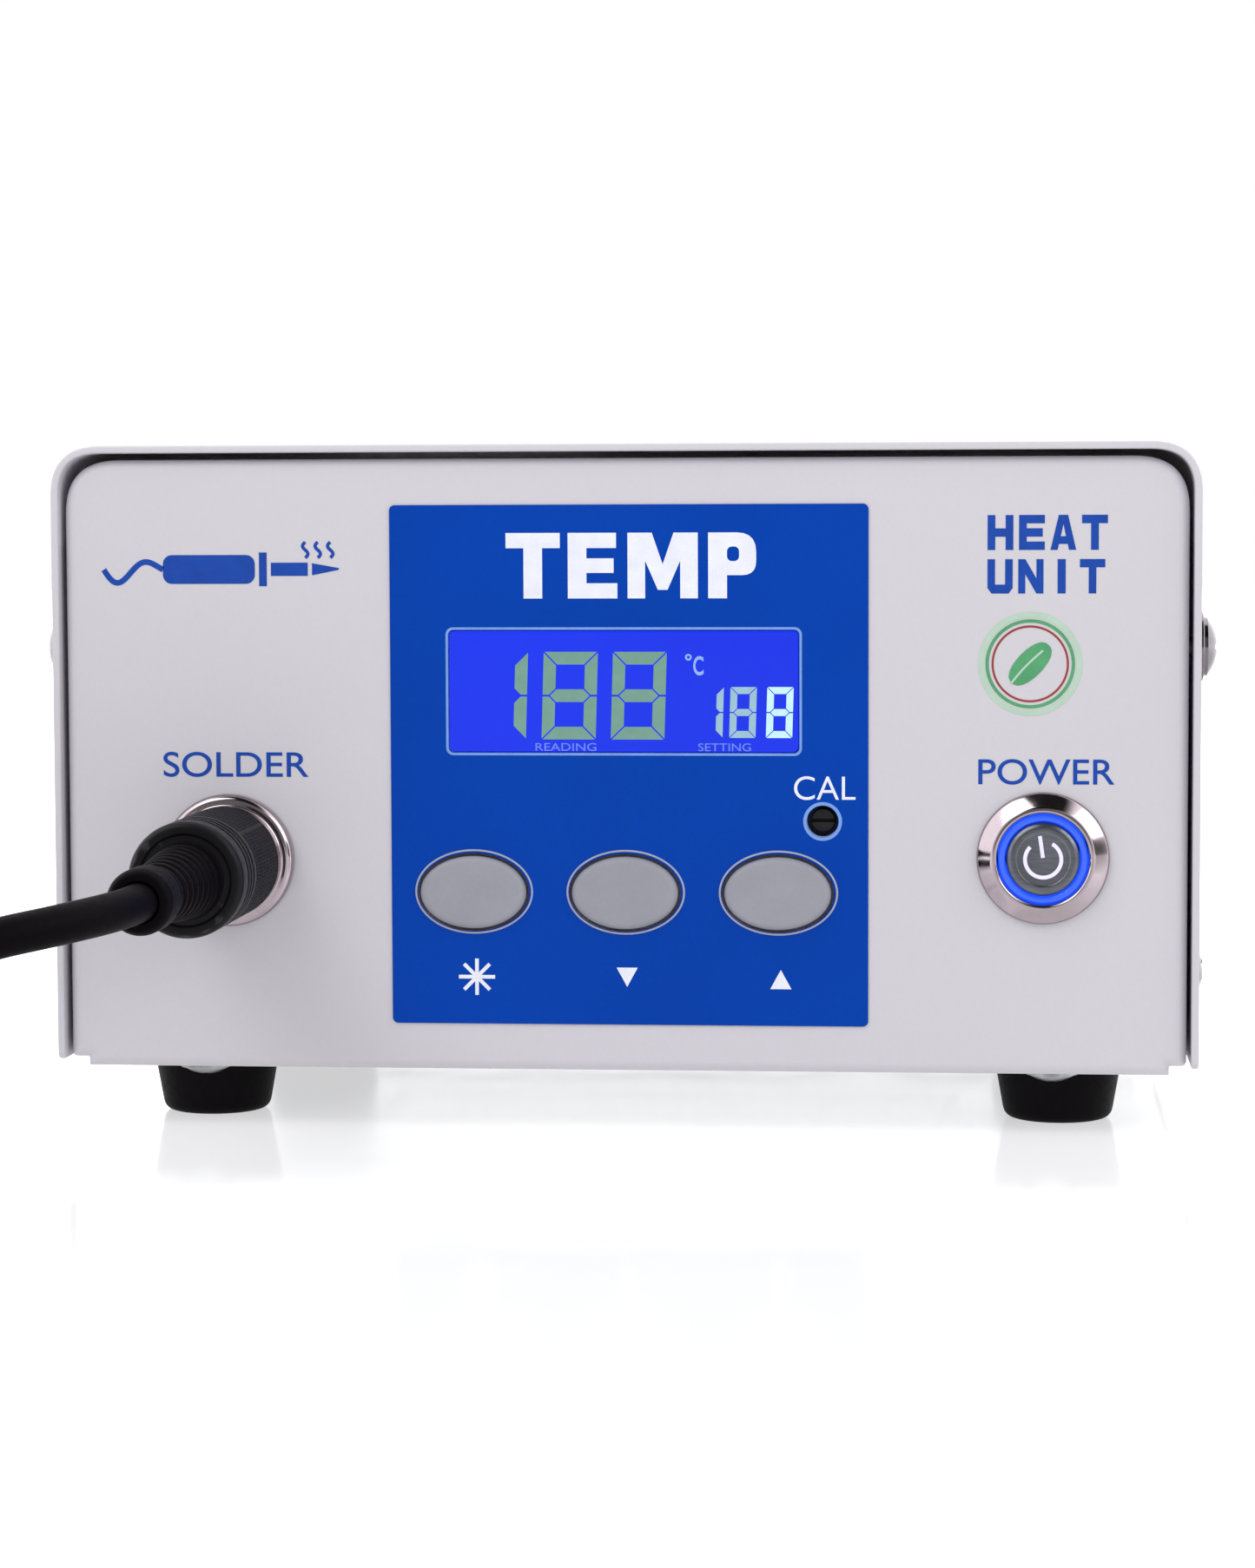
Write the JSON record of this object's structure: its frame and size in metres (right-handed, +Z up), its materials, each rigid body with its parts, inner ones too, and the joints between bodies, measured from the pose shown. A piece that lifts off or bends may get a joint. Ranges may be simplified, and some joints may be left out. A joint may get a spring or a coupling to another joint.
{
  "type": "soldering iron station",
  "caption": "Bench soldering station: sheet-steel case on rubber feet with a blue display panel, oval keys, lit power switch, front iron socket, and a corded iron lying beside it.",
  "frame": {"origin": "centre of the flat underside of the base tray, which is 11.7 mm above the surface that the feet stand on", "axes": "+X to the right seen from the front panel, +Y from the front panel to the rear panel, +Z up"},
  "size_m": [0.3114, 0.2973, 0.1142],
  "materials": {
    "painted_case": "satin light grey powder coat",
    "zinc_steel": "zinc plated",
    "chrome": "bright plated",
    "button_steel": "brushed stainless steel",
    "iron_steel": "heat-worn steel",
    "label_film": "printed blue film",
    "display_glass": "clear pane over a blue display",
    "display_body": "blue backlit display",
    "light_ring": "blue light guide",
    "key_plastic": "moulded grey",
    "black_plastic": "moulded black",
    "trimmer_blue": "moulded blue",
    "foot_rubber": "moulded black rubber",
    "cord_rubber": "flexible black jacket",
    "grip_rubber": "soft blue sleeve",
    "circuit_board": "green laminate",
    "brass_pin": "plated brass",
    "fuse_glass": "glass tube with end caps",
    "core_steel": "laminated steel, varnished",
    "winding_tape": "yellow insulating tape",
    "sink_aluminium": "extruded, natural",
    "capacitor_sleeve": "shrink sleeve"
  },
  "bodies": {
    "root": {"front_panel": "painted_case", "rear_panel": "painted_case", "top_cover": "painted_case", "base_tray": "zinc_steel", "base_screw_left": "zinc_steel", "base_screw_right": "zinc_steel", "power_switch_nut": "zinc_steel", "iron_socket_nut": "zinc_steel", "transformer_bracket": "zinc_steel", "cover_screw_upper_front_left": "chrome", "cover_screw_upper_front_right": "chrome", "cover_screw_lower_left": "chrome", "cover_screw_lower_right": "chrome", "cover_screw_upper_rear_left": "chrome", "cover_screw_upper_rear_right": "chrome", "power_switch_bezel": "chrome", "iron_socket_shell": "chrome", "iron_collar_nut": "chrome", "iron_barrel": "iron_steel", "iron_tip": "iron_steel", "control_label": "label_film", "display_window": "display_glass", "display_module": "display_body", "power_light_ring": "light_ring", "set_key_switch": "black_plastic", "down_key_switch": "black_plastic", "up_key_switch": "black_plastic", "power_switch_block": "black_plastic", "iron_socket_insert": "black_plastic", "plug_shell": "black_plastic", "mains_inlet": "black_plastic", "iron_handle": "black_plastic", "cal_trimmer_body": "trimmer_blue", "foot_front_left": "foot_rubber", "foot_front_right": "foot_rubber", "foot_rear_left": "foot_rubber", "foot_rear_right": "foot_rubber", "iron_cord": "cord_rubber", "iron_cord_coil": "cord_rubber", "iron_cord_tail": "cord_rubber", "plug_boot": "cord_rubber", "iron_cord_boot": "cord_rubber", "iron_grip": "grip_rubber", "control_board": "circuit_board", "main_board": "circuit_board", "inlet_neutral_pin": "brass_pin", "inlet_line_pin": "brass_pin", "inlet_earth_pin": "brass_pin", "transformer_core": "core_steel", "transformer_winding": "winding_tape", "heat_sink": "sink_aluminium", "filter_capacitor": "capacitor_sleeve"},
    "set_key": {"set_key": "key_plastic"},
    "down_key": {"down_key": "key_plastic"},
    "up_key": {"up_key": "key_plastic"},
    "power_button": {"power_button": "button_steel"},
    "cal_trimmer": {"cal_trimmer_rotor": "black_plastic"},
    "coupling_nut": {"plug_coupling_nut": "black_plastic"},
    "fuse_drawer": {"fuse_drawer": "black_plastic", "fuse": "fuse_glass"}
  },
  "joints": [
    {"name": "set_key_press", "type": "slide", "parent": "root", "child": "set_key", "axis": [0, 1, 0], "range_m": [0, 0.001], "stiffness_N_per_m": 900, "springref_m": -0.0006},
    {"name": "down_key_press", "type": "slide", "parent": "root", "child": "down_key", "axis": [0, 1, 0], "range_m": [0, 0.001], "stiffness_N_per_m": 900, "springref_m": -0.0006},
    {"name": "up_key_press", "type": "slide", "parent": "root", "child": "up_key", "axis": [0, 1, 0], "range_m": [0, 0.001], "stiffness_N_per_m": 900, "springref_m": -0.0006},
    {"name": "power_button_press", "type": "slide", "parent": "root", "child": "power_button", "axis": [0, 1, 0], "range_m": [0, 0.0025], "stiffness_N_per_m": 900, "springref_m": -0.001},
    {"name": "cal_trimmer_turn", "type": "hinge", "parent": "root", "child": "cal_trimmer", "pos_m": [0.0334, -0.073, 0.04035], "axis": [0, 1, 0], "range_deg": [-130, 130]},
    {"name": "coupling_nut_turn", "type": "hinge", "parent": "root", "child": "coupling_nut", "pos_m": [-0.0656, -0.0915, 0.0336], "axis": [0, 1, 0], "range_deg": [0, 90]},
    {"name": "fuse_drawer_pull", "type": "slide", "parent": "root", "child": "fuse_drawer", "axis": [0, 1, 0], "range_m": [0, 0.018]}
  ]
}
